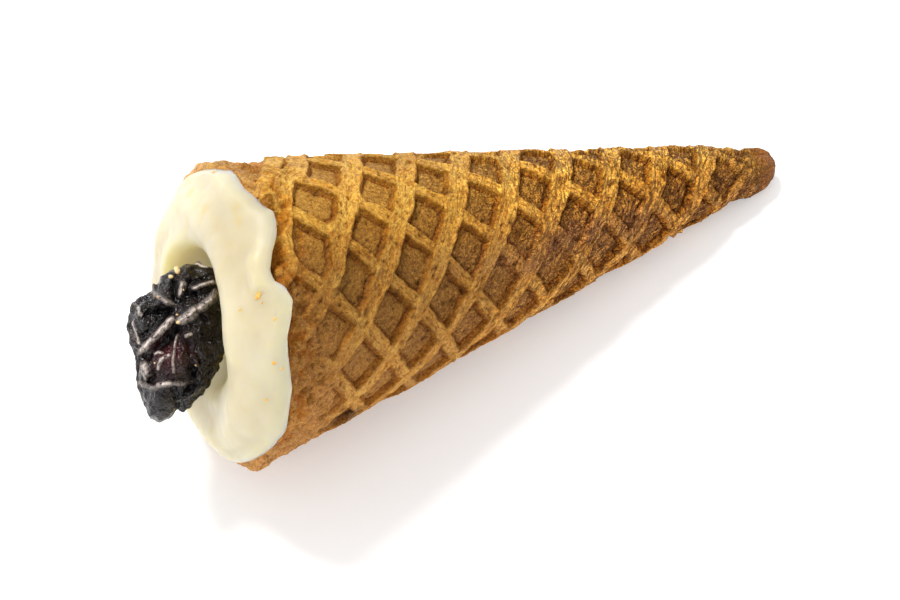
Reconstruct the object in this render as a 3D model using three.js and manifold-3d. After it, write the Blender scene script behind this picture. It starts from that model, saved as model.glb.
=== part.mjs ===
// A small rolled waffle cone filled with yogurt, with one dried berry in its mouth, lying on its side.
// Millimetres, +Z up. The mouth faces -X and the tip +X. The side that faces the viewer is -Y and up.
// The origin is the centre of the bounding box's foot, on the surface that the cone lies on.
//
// Three coordinates place everything on the cone:
//   slant  distance from the point of the full cone, along its side
//   turn   angle about the axis from the front line, the line that faces the viewer; it grows downwards
//   lift   distance out from the cone that runs through the tops of the ribs

import * as THREE from 'three';
import { mergeVertices } from 'three/addons/utils/BufferGeometryUtils.js';
import Module from 'manifold-3d';

const wasm = await Module();
wasm.setup();

const RAD = Math.PI / 180;

// ---- Cone: its taper, length and lie ----
const HALF_ANGLE = 11.8 * RAD;
const FRONT_FROM_TOP = 32.3;      // turn from the topmost line of the lying cone to its front line
const MOUTH_SLANT = 58.9;
const MOUTH_TILT = 2.2;           // the mouth is cut askew: this much longer below, shorter above
const MOUTH_WAVE = 0.14;
const TIP_SLANT = 9.5;            // the rolled sheet starts here, round a short solid nose
const NOSE_LENGTH = 1.0;
const NOSE_RADIUS = 1.5;
const FLOOR_CUT = 0.15;           // depth of the narrow flat that the cone rests on

// ---- Waffle sheet ----
const WALL = 2.15;                // inside face to rib tops
const RIB_HEIGHT = 0.55;
const SHEET_DEPTH = 3.0;          // before the inside is bored out
const EDGE_ROUND = 0.6;
const RIB_PITCH = 4.264;
const RIB_SETS = [
  { normal: -39.0, phase: 0.036, topWidth: 1.3, footWidth: 1.8, height: RIB_HEIGHT },
  { normal: 39.6, phase: 0.114, topWidth: 1.0, footWidth: 1.5, height: RIB_HEIGHT - 0.07 },
];
const OUTLINE_STEP = 6;           // degrees of turn between points of the sheet's outline
const MAX_EDGE_TURN = 17;         // the longest turn of a straight edge once the sheet is rolled

// ---- Seam: the outer lap ends in a free edge, the inner lap runs on beneath it ----
const FREE_EDGE_TURN = -84;
const LAP_STEP = 0.28;            // drop from the outer lap's panels to the inner lap, at the mouth
const LAP_RAMP_TURN = 110;        // the sheet sinks by that much over this last part of its turn
const INNER_LAP_TURN = 50;        // how far it runs on round the mouth
const INNER_LAP_LENGTH = 9;       // and from the mouth down into the cone
const INNER_LAP_EXTRA = 1.9;     // the rim rises by this much round the end of the inner lap
const INNER_LAP_EXTRA_TURN = -98;
const INNER_LAP_EXTRA_REACH = 48;
const INNER_LAP_FLARE = 0.4;      // and the inner lap bends out by this much there
const CORNER_CUT = 5.6;           // the outer lap's corner falls back
const SEAM_HALF_WIDTH = 1.0;
const SEAM_MAX_HALF_TURN = 24;

// ---- Worn places of the ribs: where they are, how far they reach, how much of the height is left ----
const WORN_PLACES = [
  { slant: 33, turn: 28, alongReach: 8, turnReach: 26, left: 0.45 },
  { slant: 57, turn: 40, alongReach: 4.5, turnReach: 34, left: 0.35 },
  { slant: 13, turn: 20, alongReach: 4, turnReach: 80, left: 0.6 },
];
const SHEET_WAVE = 0.09;          // slow unevenness of the whole surface

// ---- Yogurt: fills the cone, stands out of the mouth as a ring with a dimple ----
const GAP = 0.3;
const FILL_FROM = 15.6;
// radius and height over the mouth's plane, from the wall, over the ring's crest, into the dimple
const MOUND_PROFILE = [
  [10.1, 1.0], [11.3, 0.8], [12.0, 0.5], [12.25, 0.8], [11.8, 1.6], [11.0, 2.5], [10.0, 3.4], [8.8, 3.95],
  [7.6, 3.9], [6.5, 3.25], [5.6, 2.3], [4.9, 1.5], [3.6, 0.9], [1.8, 0.6],
];
const MOUND_SHIFT = 0.25;         // the ring sits off centre, towards this turn
const MOUND_SHIFT_TURN = 12;
const MOUND_SAG = 1.0;            // it is lower below the berry
const MOUND_SAG_TURN = 108;
const MOUND_SWELL = 0.35;         // and higher on the far side
const MOUND_SWELL_TURN = 212;
const MOUND_NARROW = 0.55;        // it leaves part of the rim bare beside the inner lap
const MOUND_NARROW_BELOW = 0.5; // and a little of it at the bottom
const YOGURT_SEGMENTS = 44;

// ---- Dried berry: a shrivelled oval with dents and folds, leaning out of the dimple ----
const BERRY_OUT = 5.2;            // centre over the mouth's plane
const BERRY_DOWN = 1.1;           // centre below the axis, across the view
const BERRY_LEAN = 30;            // its lower end stands further out
const BERRY_DETAIL = 7;
// its outline as the viewer sees it: angle from the lower end towards the outer side, and radius
const BERRY_OUTLINE = [
  [0, 6.4], [25, 5.0], [48, 3.9], [75, 3.8], [95, 4.4], [116, 4.8], [134, 4.5], [150, 5.1], [180, 6.5],
  [196, 6.4], [218, 4.7], [257, 4.1], [292, 3.8], [320, 4.8], [343, 5.6], [360, 6.4],
];
const BERRY_HALF_DEPTH = 3.8;
// direction (along the berry, outwards, away from the viewer), height and reach of each bulge or dent
const BERRY_FORMS = [
  { at: [0.2, 0.25, -0.95], height: -0.4, reach: 0.3 },
  { at: [-0.35, 0.1, -0.93], height: 0.35, reach: 0.28 },
  { at: [0.5, -0.1, -0.85], height: 0.3, reach: 0.25 },
  { at: [-0.7, 0.5, -0.5], height: -0.35, reach: 0.25 },
  { at: [-0.3, 0.6, 0.7], height: -0.4, reach: 0.3 },
  { at: [0.3, 0.2, 0.93], height: 0.3, reach: 0.3 },
  { at: [0.8, 0.1, 0.6], height: -0.3, reach: 0.25 },
];
const BERRY_FOLD_DEPTH = 0.2;

const SIN = Math.sin(HALF_ANGLE);
const COS = Math.cos(HALF_ANGLE);
const MOUTH_DISTANCE = MOUTH_SLANT * COS;
const WALL_INSIDE = MOUTH_SLANT * SIN - WALL / COS;   // radius of the inside at the mouth

const smooth = (edge0, edge1, x) => THREE.MathUtils.smoothstep(x, edge0, edge1);

// Directions of the lying cone: along the axis to the mouth, up across it, and sideways to the viewer.
const OUTWARD = new THREE.Vector3(-COS, 0, SIN);
const UPWARD = new THREE.Vector3(SIN, 0, COS);
const SIDEWARD = new THREE.Vector3(0, -1, 0);

function radial(turn) {
  const angle = (turn + FRONT_FROM_TOP) * RAD;
  return UPWARD.clone().multiplyScalar(Math.cos(angle)).addScaledVector(SIDEWARD, Math.sin(angle));
}

// A point from its distance along the axis, its distance from the axis and its turn.
function axisPoint(distance, radius, turn) {
  return OUTWARD.clone().multiplyScalar(distance).addScaledVector(radial(turn), radius);
}

// A point from slant, turn and lift. Near the tip the inside stops just short of the axis.
function conePoint(slant, turn, lift) {
  const distance = slant * COS - lift * SIN;
  const radius = Math.max(slant * SIN + lift * COS, 0.3);
  return axisPoint(distance, radius, turn);
}

// Slow unevenness of baked dough, between -1 and 1.
function waviness(slant, turn) {
  const first = Math.sin(0.31 * slant + 0.045 * turn);
  const second = Math.sin(0.17 * slant - 0.081 * turn + 1.7);
  return 0.5 * (first + second);
}

// 1 at this turn about the axis, falling to nothing on both sides of it.
function roundBump(turn, middle, reach) {
  const away = THREE.MathUtils.euclideanModulo(turn - middle + 180, 360) - 180;
  return Math.exp(-((away / reach) ** 2));
}

// How far the rim stands out over an evenly skewed mouth.
function rimRise(turn) {
  const lap = INNER_LAP_EXTRA * roundBump(turn, INNER_LAP_EXTRA_TURN, INNER_LAP_EXTRA_REACH);
  const wave = MOUTH_WAVE * (Math.sin(5 * turn * RAD) + Math.sin(9 * turn * RAD + 2));
  return lap + wave;
}

function mouthSlant(turn) {
  const tilt = MOUTH_TILT * Math.sin(turn * RAD);
  const corner = CORNER_CUT * (1 - smooth(-92, -30, turn));
  return MOUTH_SLANT + tilt + rimRise(turn) - corner;
}

// ---- Solids from geometries, and back ----

function toSolid(geometry) {
  let bare = geometry.clone();
  bare.deleteAttribute('normal');
  bare.deleteAttribute('uv');
  bare = mergeVertices(bare, 1e-4);
  return new wasm.Manifold(new wasm.Mesh({
    numProp: 3,
    vertProperties: new Float32Array(bare.attributes.position.array),
    triVerts: new Uint32Array(bare.index.array),
  }));
}

function toGeometry(solid) {
  const mesh = solid.getMesh();
  const geometry = new THREE.BufferGeometry();
  geometry.setAttribute('position', new THREE.BufferAttribute(new Float32Array(mesh.vertProperties), 3));
  geometry.setIndex(new THREE.BufferAttribute(new Uint32Array(mesh.triVerts), 1));
  geometry.computeVertexNormals();
  return geometry;
}

function indexed(points, triangles) {
  const geometry = new THREE.BufferGeometry();
  geometry.setAttribute('position', new THREE.Float32BufferAttribute(points.flat(), 3));
  geometry.setIndex(triangles.flat());
  return geometry;
}

// ---- Flat sheet, in the plane of the unrolled cone ----

function flatPoint(slant, turn) {
  const angle = turn * SIN * RAD;
  return [slant * Math.cos(angle), slant * Math.sin(angle)];
}

function sheetOutline(turnFrom, turnTo, slantFrom, slantTo) {
  const steps = Math.ceil((turnTo - turnFrom) / OUTLINE_STEP);
  const outline = [];
  for (let i = 0; i <= steps; i++) {
    const turn = THREE.MathUtils.lerp(turnFrom, turnTo, i / steps);
    outline.push(new THREE.Vector2(...flatPoint(slantTo(turn), turn)));
  }
  for (let i = steps; i >= 0; i -= 3) {
    const turn = THREE.MathUtils.lerp(turnFrom, turnTo, i / steps);
    outline.push(new THREE.Vector2(...flatPoint(slantFrom, turn)));
  }
  return new THREE.Shape(outline);
}

// A plate with rounded edges, from lift bottom to lift top.
function plate(shape, bottom, top, rounding) {
  const geometry = new THREE.ExtrudeGeometry(shape, {
    depth: top - bottom - 2 * rounding,
    bevelThickness: rounding,
    bevelSize: rounding,
    bevelOffset: -rounding,
    bevelSegments: 2,
  });
  geometry.translate(0, 0, bottom + rounding);
  return toSolid(geometry);
}

// Lines along each rib of a set, by their distance from the full cone's point: feet and top.
function ribLines(set, from, to) {
  const lines = [];
  for (let n = Math.ceil(from / RIB_PITCH); n * RIB_PITCH < to; n++) {
    const middle = (n + set.phase) * RIB_PITCH;
    lines.push({ at: middle - set.footWidth / 2, lift: -RIB_HEIGHT });
    lines.push({ at: middle - set.topWidth / 2, lift: set.height - RIB_HEIGHT });
    lines.push({ at: middle + set.topWidth / 2, lift: set.height - RIB_HEIGHT });
    lines.push({ at: middle + set.footWidth / 2, lift: -RIB_HEIGHT });
  }
  return lines;
}

// Where a line of the first set crosses one of the second, at the height of the higher.
function crossing(lineA, lineB) {
  const angleA = RIB_SETS[0].normal * RAD;
  const angleB = RIB_SETS[1].normal * RAD;
  const spread = Math.sin(angleB - angleA);
  const u = (lineA.at * Math.sin(angleB) - lineB.at * Math.sin(angleA)) / spread;
  const v = (lineB.at * Math.cos(angleA) - lineA.at * Math.cos(angleB)) / spread;
  const turn = Math.atan2(v, u) / SIN / RAD;
  const uneven = SHEET_WAVE * waviness(Math.hypot(u, v), turn);
  return [u, v, Math.max(lineA.lift, lineB.lift) + uneven];
}

// A block of waffle, larger than the sheet: a grid of points along the ribs over a plain underside.
function waffleBlock() {
  const linesA = ribLines(RIB_SETS[0], -10, MOUTH_SLANT + 8);
  const linesB = ribLines(RIB_SETS[1], 0, MOUTH_SLANT + 8);
  const rows = linesA.length;
  const columns = linesB.length;
  const top = linesA.flatMap((a) => linesB.map((b) => crossing(a, b)));
  const under = top.map(([u, v]) => [u, v, -SHEET_DEPTH - 1]);
  const at = (i, j) => i * columns + j;
  const below = (k) => k + top.length;
  const triangles = [];
  for (let i = 0; i + 1 < rows; i++) {
    for (let j = 0; j + 1 < columns; j++) {
      const [a, b, c, d] = [at(i, j), at(i + 1, j), at(i + 1, j + 1), at(i, j + 1)];
      const alongAC = top[a][2] + top[c][2] > top[b][2] + top[d][2];
      triangles.push(...(alongAC ? [[a, b, c], [a, c, d]] : [[b, c, d], [b, d, a]]));
      triangles.push([below(a), below(c), below(b)], [below(a), below(d), below(c)]);
    }
  }
  const upTo = (count) => Array.from({ length: count - 1 }, (_, k) => k);
  const edge = [
    ...upTo(rows).map((i) => at(i, 0)),
    ...upTo(columns).map((j) => at(rows - 1, j)),
    ...upTo(rows).map((i) => at(rows - 1 - i, columns - 1)),
    ...upTo(columns).map((j) => at(0, columns - 1 - j)),
  ];
  edge.forEach((p, k) => {
    const q = edge[(k + 1) % edge.length];
    triangles.push([below(p), below(q), q], [below(p), q, p]);
  });
  return toSolid(indexed([...top, ...under], triangles));
}

function waffleSheet() {
  const outline = sheetOutline(FREE_EDGE_TURN, FREE_EDGE_TURN + 360, TIP_SLANT, mouthSlant);
  const blank = plate(outline, -SHEET_DEPTH, 2 * SHEET_WAVE, EDGE_ROUND);
  return blank.intersect(waffleBlock());
}

// Splits each edge that turns too far about the axis, alike in both triangles that share it.
function refined(mesh) {
  const points = [];
  for (let i = 0; i < mesh.vertProperties.length; i += 3) {
    points.push(Array.from(mesh.vertProperties.slice(i, i + 3)));
  }
  let triangles = [];
  for (let i = 0; i < mesh.triVerts.length; i += 3) {
    triangles.push(Array.from(mesh.triVerts.slice(i, i + 3)));
  }
  const turnOf = (p) => Math.atan2(p[1], p[0]) / SIN / RAD;
  for (;;) {
    const middles = new Map();
    const middle = (a, b) => {
      if (Math.abs(turnOf(points[a]) - turnOf(points[b])) < MAX_EDGE_TURN) {
        return -1;
      }
      const key = Math.min(a, b) + '_' + Math.max(a, b);
      if (!middles.has(key)) {
        middles.set(key, points.length);
        points.push(points[a].map((value, k) => (value + points[b][k]) / 2));
      }
      return middles.get(key);
    };
    const next = [];
    for (const corners of triangles) {
      const mids = corners.map((corner, k) => middle(corner, corners[(k + 1) % 3]));
      next.push(...splitTriangle(corners, mids));
    }
    if (middles.size === 0) {
      return { points, triangles };
    }
    triangles = next;
  }
}

// mids holds the new point on the edge after each corner, or -1.
function splitTriangle(corners, mids) {
  const count = mids.filter((m) => m >= 0).length;
  if (count === 0) {
    return [corners];
  }
  if (count === 3) {
    const [a, b, c] = corners;
    const [ab, bc, ca] = mids;
    return [[a, ab, ca], [ab, b, bc], [ca, bc, c], [ab, bc, ca]];
  }
  // turn the triangle until its first edge is split, and with two split edges its last one isn't
  let k = 0;
  while (mids[k] < 0 || (count === 2 && mids[(k + 2) % 3] >= 0)) {
    k++;
  }
  const [a, b, c] = [0, 1, 2].map((i) => corners[(k + i) % 3]);
  const ab = mids[k];
  if (count === 1) {
    return [[a, ab, c], [ab, b, c]];
  }
  const bc = mids[(k + 1) % 3];
  return [[a, ab, c], [ab, b, bc], [ab, bc, c]];
}

function ribShareLeft(slant, turn) {
  let share = 1;
  for (const place of WORN_PLACES) {
    const along = (slant - place.slant) / place.alongReach;
    const round = (turn - place.turn) / place.turnReach;
    const near = Math.exp(-along * along - round * round);
    share *= 1 - near * (1 - place.left);
  }
  const lapTurn = FREE_EDGE_TURN + 360 - turn;
  return share * smooth(0, 26, lapTurn);
}

function lapDrop(slant, turn) {
  const end = FREE_EDGE_TURN + 360;
  const sink = LAP_STEP * (slant / MOUTH_SLANT) * smooth(end - LAP_RAMP_TURN, end, turn);
  const flare = INNER_LAP_FLARE * smooth(MOUTH_SLANT - 4.5, MOUTH_SLANT - 0.5, slant);
  return sink - flare * smooth(end - LAP_RAMP_TURN, end - 20, turn);
}

// Rolls a flat solid up into the cone.
function rolled(flat) {
  const { points, triangles } = refined(flat.getMesh());
  const wrapped = points.map(([u, v, w]) => {
    const slant = Math.hypot(u, v);
    const turn = Math.atan2(v, u) / SIN / RAD;
    const overPanel = Math.max(w + RIB_HEIGHT, 0);
    let lift = w - overPanel * (1 - ribShareLeft(slant, turn));
    lift -= lapDrop(slant, turn);
    return conePoint(slant, turn, lift).toArray();
  });
  return toSolid(indexed(wrapped, triangles));
}

// ---- Pieces that join the rolled sheet into one cone ----

// A bar along the seam: under the outer lap on one side, level with the inner lap on the other.
function seamBar() {
  const points = [];
  const triangles = [];
  const steps = 8;
  const lastSlant = mouthSlant(FREE_EDGE_TURN) - EDGE_ROUND;
  for (let i = 0; i <= steps; i++) {
    const slant = THREE.MathUtils.lerp(TIP_SLANT + 0.5, lastSlant, i / steps);
    const halfTurn = Math.min(SEAM_HALF_WIDTH / (slant * SIN) / RAD, SEAM_MAX_HALF_TURN);
    const step = LAP_STEP * slant / MOUTH_SLANT;
    const outerTop = -RIB_HEIGHT - 0.35 * step;
    const innerTop = -RIB_HEIGHT - 1.05 * step;
    points.push(conePoint(slant, FREE_EDGE_TURN - halfTurn, -SHEET_DEPTH).toArray());
    points.push(conePoint(slant, FREE_EDGE_TURN + halfTurn, -SHEET_DEPTH).toArray());
    points.push(conePoint(slant, FREE_EDGE_TURN + halfTurn, outerTop).toArray());
    points.push(conePoint(slant, FREE_EDGE_TURN - halfTurn, innerTop).toArray());
  }
  for (let i = 0; i < steps; i++) {
    for (let k = 0; k < 4; k++) {
      const a = 4 * i + k;
      const b = 4 * i + (k + 1) % 4;
      triangles.push([a, b + 4, a + 4], [a, b, b + 4]);
    }
  }
  const last = 4 * steps;
  triangles.push([0, 2, 1], [0, 3, 2], [last, last + 1, last + 2], [last, last + 2, last + 3]);
  return toSolid(indexed(points, triangles));
}

// The inner lap where it stands out past the outer lap's corner.
function innerLapEnd() {
  const turnFrom = FREE_EDGE_TURN + 360 - OUTLINE_STEP;
  const turnTo = FREE_EDGE_TURN + 360 + INNER_LAP_TURN;
  const shape = sheetOutline(turnFrom, turnTo, MOUTH_SLANT - INNER_LAP_LENGTH, mouthSlant);
  return rolled(plate(shape, -SHEET_DEPTH + LAP_STEP, -RIB_HEIGHT, EDGE_ROUND / 2));
}

function nose() {
  const tip = TIP_SLANT * COS - NOSE_LENGTH;
  const profile = [new THREE.Vector2(0, tip)];
  for (let angle = 30; angle <= 90; angle += 20) {
    const across = NOSE_RADIUS * Math.sin(angle * RAD);
    profile.push(new THREE.Vector2(across, tip + 1.2 * (1 - Math.cos(angle * RAD))));
  }
  profile.push(new THREE.Vector2(0.9, FILL_FROM - 0.6));
  profile.push(new THREE.Vector2(0, FILL_FROM - 0.6));
  return aboutAxis(new THREE.LatheGeometry(profile, 18));
}

function bore() {
  const from = FILL_FROM - 0.9;
  const to = MOUTH_DISTANCE + 12;
  const radiusAt = (distance) => distance * Math.tan(HALF_ANGLE) - WALL / COS;
  const profile = [
    new THREE.Vector2(0, from),
    new THREE.Vector2(radiusAt(from) * 0.8, from),
    new THREE.Vector2(radiusAt(from + 0.6), from + 0.6),
    new THREE.Vector2(radiusAt(to), to),
    new THREE.Vector2(0, to),
  ];
  return aboutAxis(new THREE.LatheGeometry(profile, YOGURT_SEGMENTS));
}

// Turns a lathe geometry, made about Y, onto the cone's axis.
function aboutAxis(lathe) {
  const basis = new THREE.Matrix4().makeBasis(radial(0), OUTWARD, radial(90));
  lathe.applyMatrix4(basis);
  return toSolid(lathe);
}

// ---- Yogurt ----

function yogurtBody() {
  const wallRadius = (distance) => distance * Math.tan(HALF_ANGLE) - (WALL + GAP) / COS;
  const rings = [];
  rings.push((turn) => axisPoint(FILL_FROM, wallRadius(FILL_FROM) * 0.7, turn));
  rings.push((turn) => axisPoint(FILL_FROM + 0.5, wallRadius(FILL_FROM + 0.5), turn));
  rings.push((turn) => {
    const distance = mouthHeight(9.4, turn, 0.2);
    return axisPoint(distance, wallRadius(distance), turn);
  });
  for (const [radius, height] of MOUND_PROFILE) {
    rings.push((turn) => moundPoint(radius, height, turn));
  }
  const points = [axisPoint(FILL_FROM, 0, 0).toArray()];
  for (const ring of rings) {
    for (let k = 0; k < YOGURT_SEGMENTS; k++) {
      points.push(ring(360 * k / YOGURT_SEGMENTS).toArray());
    }
  }
  const lastHeight = MOUND_PROFILE[MOUND_PROFILE.length - 1][1];
  const top = points.length;
  points.push(axisPoint(mouthHeight(0, 0, lastHeight), 0, 0).toArray());
  const triangles = [];
  for (let k = 0; k < YOGURT_SEGMENTS; k++) {
    const next = (k + 1) % YOGURT_SEGMENTS;
    triangles.push([0, 1 + k, 1 + next]);
    for (let j = 0; j + 1 < rings.length; j++) {
      const here = 1 + j * YOGURT_SEGMENTS;
      const there = here + YOGURT_SEGMENTS;
      triangles.push([here + k, there + k, there + next], [here + k, there + next, here + next]);
    }
    const rim = 1 + (rings.length - 1) * YOGURT_SEGMENTS;
    triangles.push([rim + k, top, rim + next]);
  }
  return toSolid(indexed(points, triangles));
}

// Distance along the axis of a point at this height over the mouth. Low on the wall it follows the rim.
function mouthHeight(radius, turn, height) {
  const tilt = MOUTH_TILT * (radius / (MOUTH_SLANT * SIN)) * Math.sin(turn * RAD);
  const onRim = smooth(8.5, 10.2, radius) * (1 - smooth(0.8, 3.4, height));
  return MOUTH_DISTANCE + tilt + rimRise(turn) * onRim + height;
}

// The profile of the ring, sagging below the berry, swelling on the far side and drawn in beside the lap.
function moundPoint(radius, height, turn) {
  const onCrest = smooth(0.8, 3, height);
  const sag = MOUND_SAG * smooth(-0.2, 1, Math.cos((turn - MOUND_SAG_TURN) * RAD)) * onCrest;
  const swell = MOUND_SWELL * roundBump(turn, MOUND_SWELL_TURN, 55) * onCrest;
  const shift = MOUND_SHIFT * Math.cos((turn - MOUND_SHIFT_TURN) * RAD) * smooth(2, 11, radius);
  const beyond = Math.max(radius - WALL_INSIDE, 0);
  const besideLap = MOUND_NARROW * roundBump(turn, INNER_LAP_EXTRA_TURN, 60);
  const drawnIn = beyond * (besideLap + MOUND_NARROW_BELOW * roundBump(turn, MOUND_SAG_TURN, 45));
  return axisPoint(mouthHeight(radius, turn, height - sag + swell), radius + shift - drawnIn, turn);
}

// ---- Berry ----

function berryFrame() {
  const down = radial(90);
  const lean = BERRY_LEAN * RAD;
  const along = down.multiplyScalar(Math.cos(lean)).addScaledVector(OUTWARD, Math.sin(lean));
  const away = radial(180);
  const out = new THREE.Vector3().crossVectors(away, along);
  const centre = axisPoint(MOUTH_DISTANCE + BERRY_OUT, BERRY_DOWN, 90);
  return new THREE.Matrix4().makeBasis(along, out, away).setPosition(centre);
}

function berryOutline(direction) {
  const angle = THREE.MathUtils.euclideanModulo(Math.atan2(direction.y, direction.x) / RAD, 360);
  const k = BERRY_OUTLINE.findIndex(([at]) => at > angle);
  const [[angle0, radius0], [angle1, radius1]] = [BERRY_OUTLINE[k - 1], BERRY_OUTLINE[k]];
  return THREE.MathUtils.lerp(radius0, radius1, (angle - angle0) / (angle1 - angle0));
}

function berryRadius(direction) {
  const across = Math.hypot(direction.x, direction.y) / berryOutline(direction);
  let radius = 1 / Math.hypot(across, direction.z / BERRY_HALF_DEPTH);
  for (const form of BERRY_FORMS) {
    const spread = direction.distanceTo(new THREE.Vector3(...form.at).normalize()) / form.reach;
    radius += form.height * Math.exp(-spread * spread / 2);
  }
  const folds = Math.sin(7 * direction.y + 4 * direction.x + 1.5 * Math.sin(5 * direction.z));
  return radius - BERRY_FOLD_DEPTH * (0.6 - Math.abs(folds));
}

function berryBody(grow) {
  const ball = new THREE.IcosahedronGeometry(1, BERRY_DETAIL);
  const position = ball.attributes.position;
  for (let i = 0; i < position.count; i++) {
    const direction = new THREE.Vector3().fromBufferAttribute(position, i).normalize();
    const surface = direction.clone().multiplyScalar(berryRadius(direction) + grow);
    position.setXYZ(i, surface.x, surface.y, surface.z);
  }
  ball.applyMatrix4(berryFrame());
  return toSolid(ball);
}

// ---- Assembly ----

const floorBox = new THREE.BoxGeometry(400, 400, 50);
floorBox.translate(0, 0, FLOOR_CUT - 25);

const shell = rolled(waffleSheet()).add(seamBar()).add(innerLapEnd()).add(nose());
const coneSolid = shell.subtract(bore()).subtract(toSolid(floorBox));
const berrySolid = berryBody(0);
const yogurtSolid = yogurtBody().subtract(berryBody(GAP));

const materials = {
  waffle: new THREE.MeshStandardMaterial({ color: 0xb98045, roughness: 0.85, metalness: 0 }),
  yogurt: new THREE.MeshStandardMaterial({ color: 0xf4ecc8, roughness: 0.35, metalness: 0 }),
  berry: new THREE.MeshStandardMaterial({ color: 0x1d1b22, roughness: 0.4, metalness: 0 }),
};

const cone = new THREE.Group();
const pieces = [
  ['waffle_cone', coneSolid, materials.waffle],
  ['yogurt_filling', yogurtSolid, materials.yogurt],
  ['dried_berry', berrySolid, materials.berry],
];
for (const [name, solid, material] of pieces) {
  const mesh = new THREE.Mesh(toGeometry(solid), material);
  mesh.name = name;
  cone.add(mesh);
}

const bounds = new THREE.Box3().setFromObject(cone);
const middle = bounds.getCenter(new THREE.Vector3());
cone.position.set(-middle.x, -middle.y, -bounds.min.z);

export default cone;
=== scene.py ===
"""The looks of a small rolled waffle cone filled with yogurt, with a dried berry, lying on its side.

Lengths are in millimetres until a mesh is made. Three coordinates place everything on the cone:
    slant  distance from the point of the full cone, along its side
    turn   degrees about the axis from the front line, the line that faces the viewer; it grows downwards
    lift   distance out from the cone that runs through the tops of the ribs
"""

import math
from itertools import product

import bmesh
import bpy
import numpy as np
from mathutils import Matrix, Vector
from mathutils.bvhtree import BVHTree


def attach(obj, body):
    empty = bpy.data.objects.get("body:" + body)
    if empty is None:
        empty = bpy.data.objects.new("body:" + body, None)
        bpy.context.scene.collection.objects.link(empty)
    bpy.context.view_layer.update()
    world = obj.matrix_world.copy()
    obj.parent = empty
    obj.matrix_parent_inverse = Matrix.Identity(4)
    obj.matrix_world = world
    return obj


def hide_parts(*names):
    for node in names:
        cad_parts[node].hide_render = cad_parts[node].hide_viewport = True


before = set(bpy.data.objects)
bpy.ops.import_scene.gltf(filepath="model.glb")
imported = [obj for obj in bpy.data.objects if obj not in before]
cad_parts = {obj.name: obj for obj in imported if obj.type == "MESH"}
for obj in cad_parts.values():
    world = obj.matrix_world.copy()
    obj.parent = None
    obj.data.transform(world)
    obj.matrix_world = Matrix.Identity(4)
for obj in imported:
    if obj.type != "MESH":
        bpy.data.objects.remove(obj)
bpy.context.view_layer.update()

MM = 0.001
RAD = math.pi / 180

# ---- The cone and how it lies ----
APEX = np.array((37.075, 0.104, -0.15))   # the point of the full cone
HALF_ANGLE = 11.8 * RAD
SIN, COS = math.sin(HALF_ANGLE), math.cos(HALF_ANGLE)
FRONT_FROM_TOP = 32.3                     # degrees about the axis
OUTWARD = np.array((-COS, 0, SIN))        # along the axis, towards the mouth
UPWARD = np.array((SIN, 0, COS))
SIDEWARD = np.array((0, -1.0, 0))

MOUTH_SLANT = 58.9
MOUTH_TILT = 2.2                          # the lower side of the rim stands further out
MOUTH_WAVE = 0.14
WALL = 2.15
RIM_ROUND = 0.55                          # radius along the rim's edges
RIB_HEIGHT = 0.45
RIB_PITCH = 4.264
TIP_SLANT = 10.6

NOSE_LENGTH, NOSE_SHIFT, NOSE_TURN = 2.85, 0.3, -75
TIP_BEND, TIP_BEND_TURN = 0.42, 85        # the last stretch leans downwards

# ---- Seam ----
FREE_EDGE = -84                           # turn of the outer lap's free edge
SEAM_END = FREE_EDGE + 360                # the sheet's other end, under it
LAP_SINK = 0.28
# the rim stands out where the laps meet
LAP_RISE, LAP_RISE_TURN = 1.9, -98
LAP_RISE_REACH, LAP_RISE_REACH_BACK = 48, 37
# how far the rim falls short of that, by turn
RIM_FALL = np.array((
    (-160, 0), (-140, 0.3), (-125, 0.5), (-110, 0.25), (-100, 0.4), (-90, 0.4), (-84, 0.15), (-76, 0),
    (85, 0), (100, 0.45), (118, 0.5), (142, 0),
))
LAP_FLARE = 0.4
CORNER_CUT = 5.2                          # how far back the outer lap's corner is cut

# ---- Camera, fitted to the picture ----
CAMERA_FROM_APEX = np.array((-91.16, -108.35, 186.65))
LOOK = Vector((0.24, 0.4885, -0.8389))
RIGHT = Vector((0.8975, -0.4409, 0))
UP = RIGHT.cross(LOOK)
LENS = 107.36
SENSOR = 36
FRAME_WIDTH, FRAME_HEIGHT = 900, 600
FOCAL = LENS / SENSOR * FRAME_WIDTH       # in picture units

FLOOR_SOFTNESS = 0.004                    # square millimetres; rounds what is pressed on the floor


# ======== Small helpers ========

def smooth(edge0, edge1, x):
    """0 at edge0, 1 at edge1, eased; edge0 may be the larger."""
    t = np.clip((np.asarray(x, float) - edge0) / (edge1 - edge0), 0, 1)
    return t * t * (3 - 2 * t)


def bell(x, reach):
    return np.exp(-((np.asarray(x, float) / reach) ** 2))


def turn_gap(turn, middle):
    """Signed difference of two turns, -180 to 180."""
    return np.mod(np.asarray(turn, float) - middle + 180, 360) - 180


class Noise:
    """Smooth random field in space, about -1 to 1, the same on every run."""

    def __init__(self, seed):
        rng = np.random.default_rng(seed)
        self.table = rng.permutation(256)
        ways = rng.normal(size=(256, 3))
        self.ways = ways / np.linalg.norm(ways, axis=1)[:, None]

    def __call__(self, points):
        cell = np.floor(points).astype(int)
        part = points - cell
        ease = part ** 3 * (part * (part * 6 - 15) + 10)
        total = np.zeros(len(points))
        for corner in product((0, 1), repeat=3):
            at = (cell + corner) & 255
            key = self.table[at[:, 0]]
            key = self.table[(key + at[:, 1]) & 255]
            key = self.table[(key + at[:, 2]) & 255]
            slope = ((part - corner) * self.ways[key]).sum(1)
            share = np.where(np.array(corner) == 1, ease, 1 - ease).prod(1)
            total += slope * share
        return total * 1.55

    def layers(self, points, count, gain=0.5):
        return sum(gain ** k * self(points * 2.03 ** k + 17.3 * k) for k in range(count))


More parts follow.
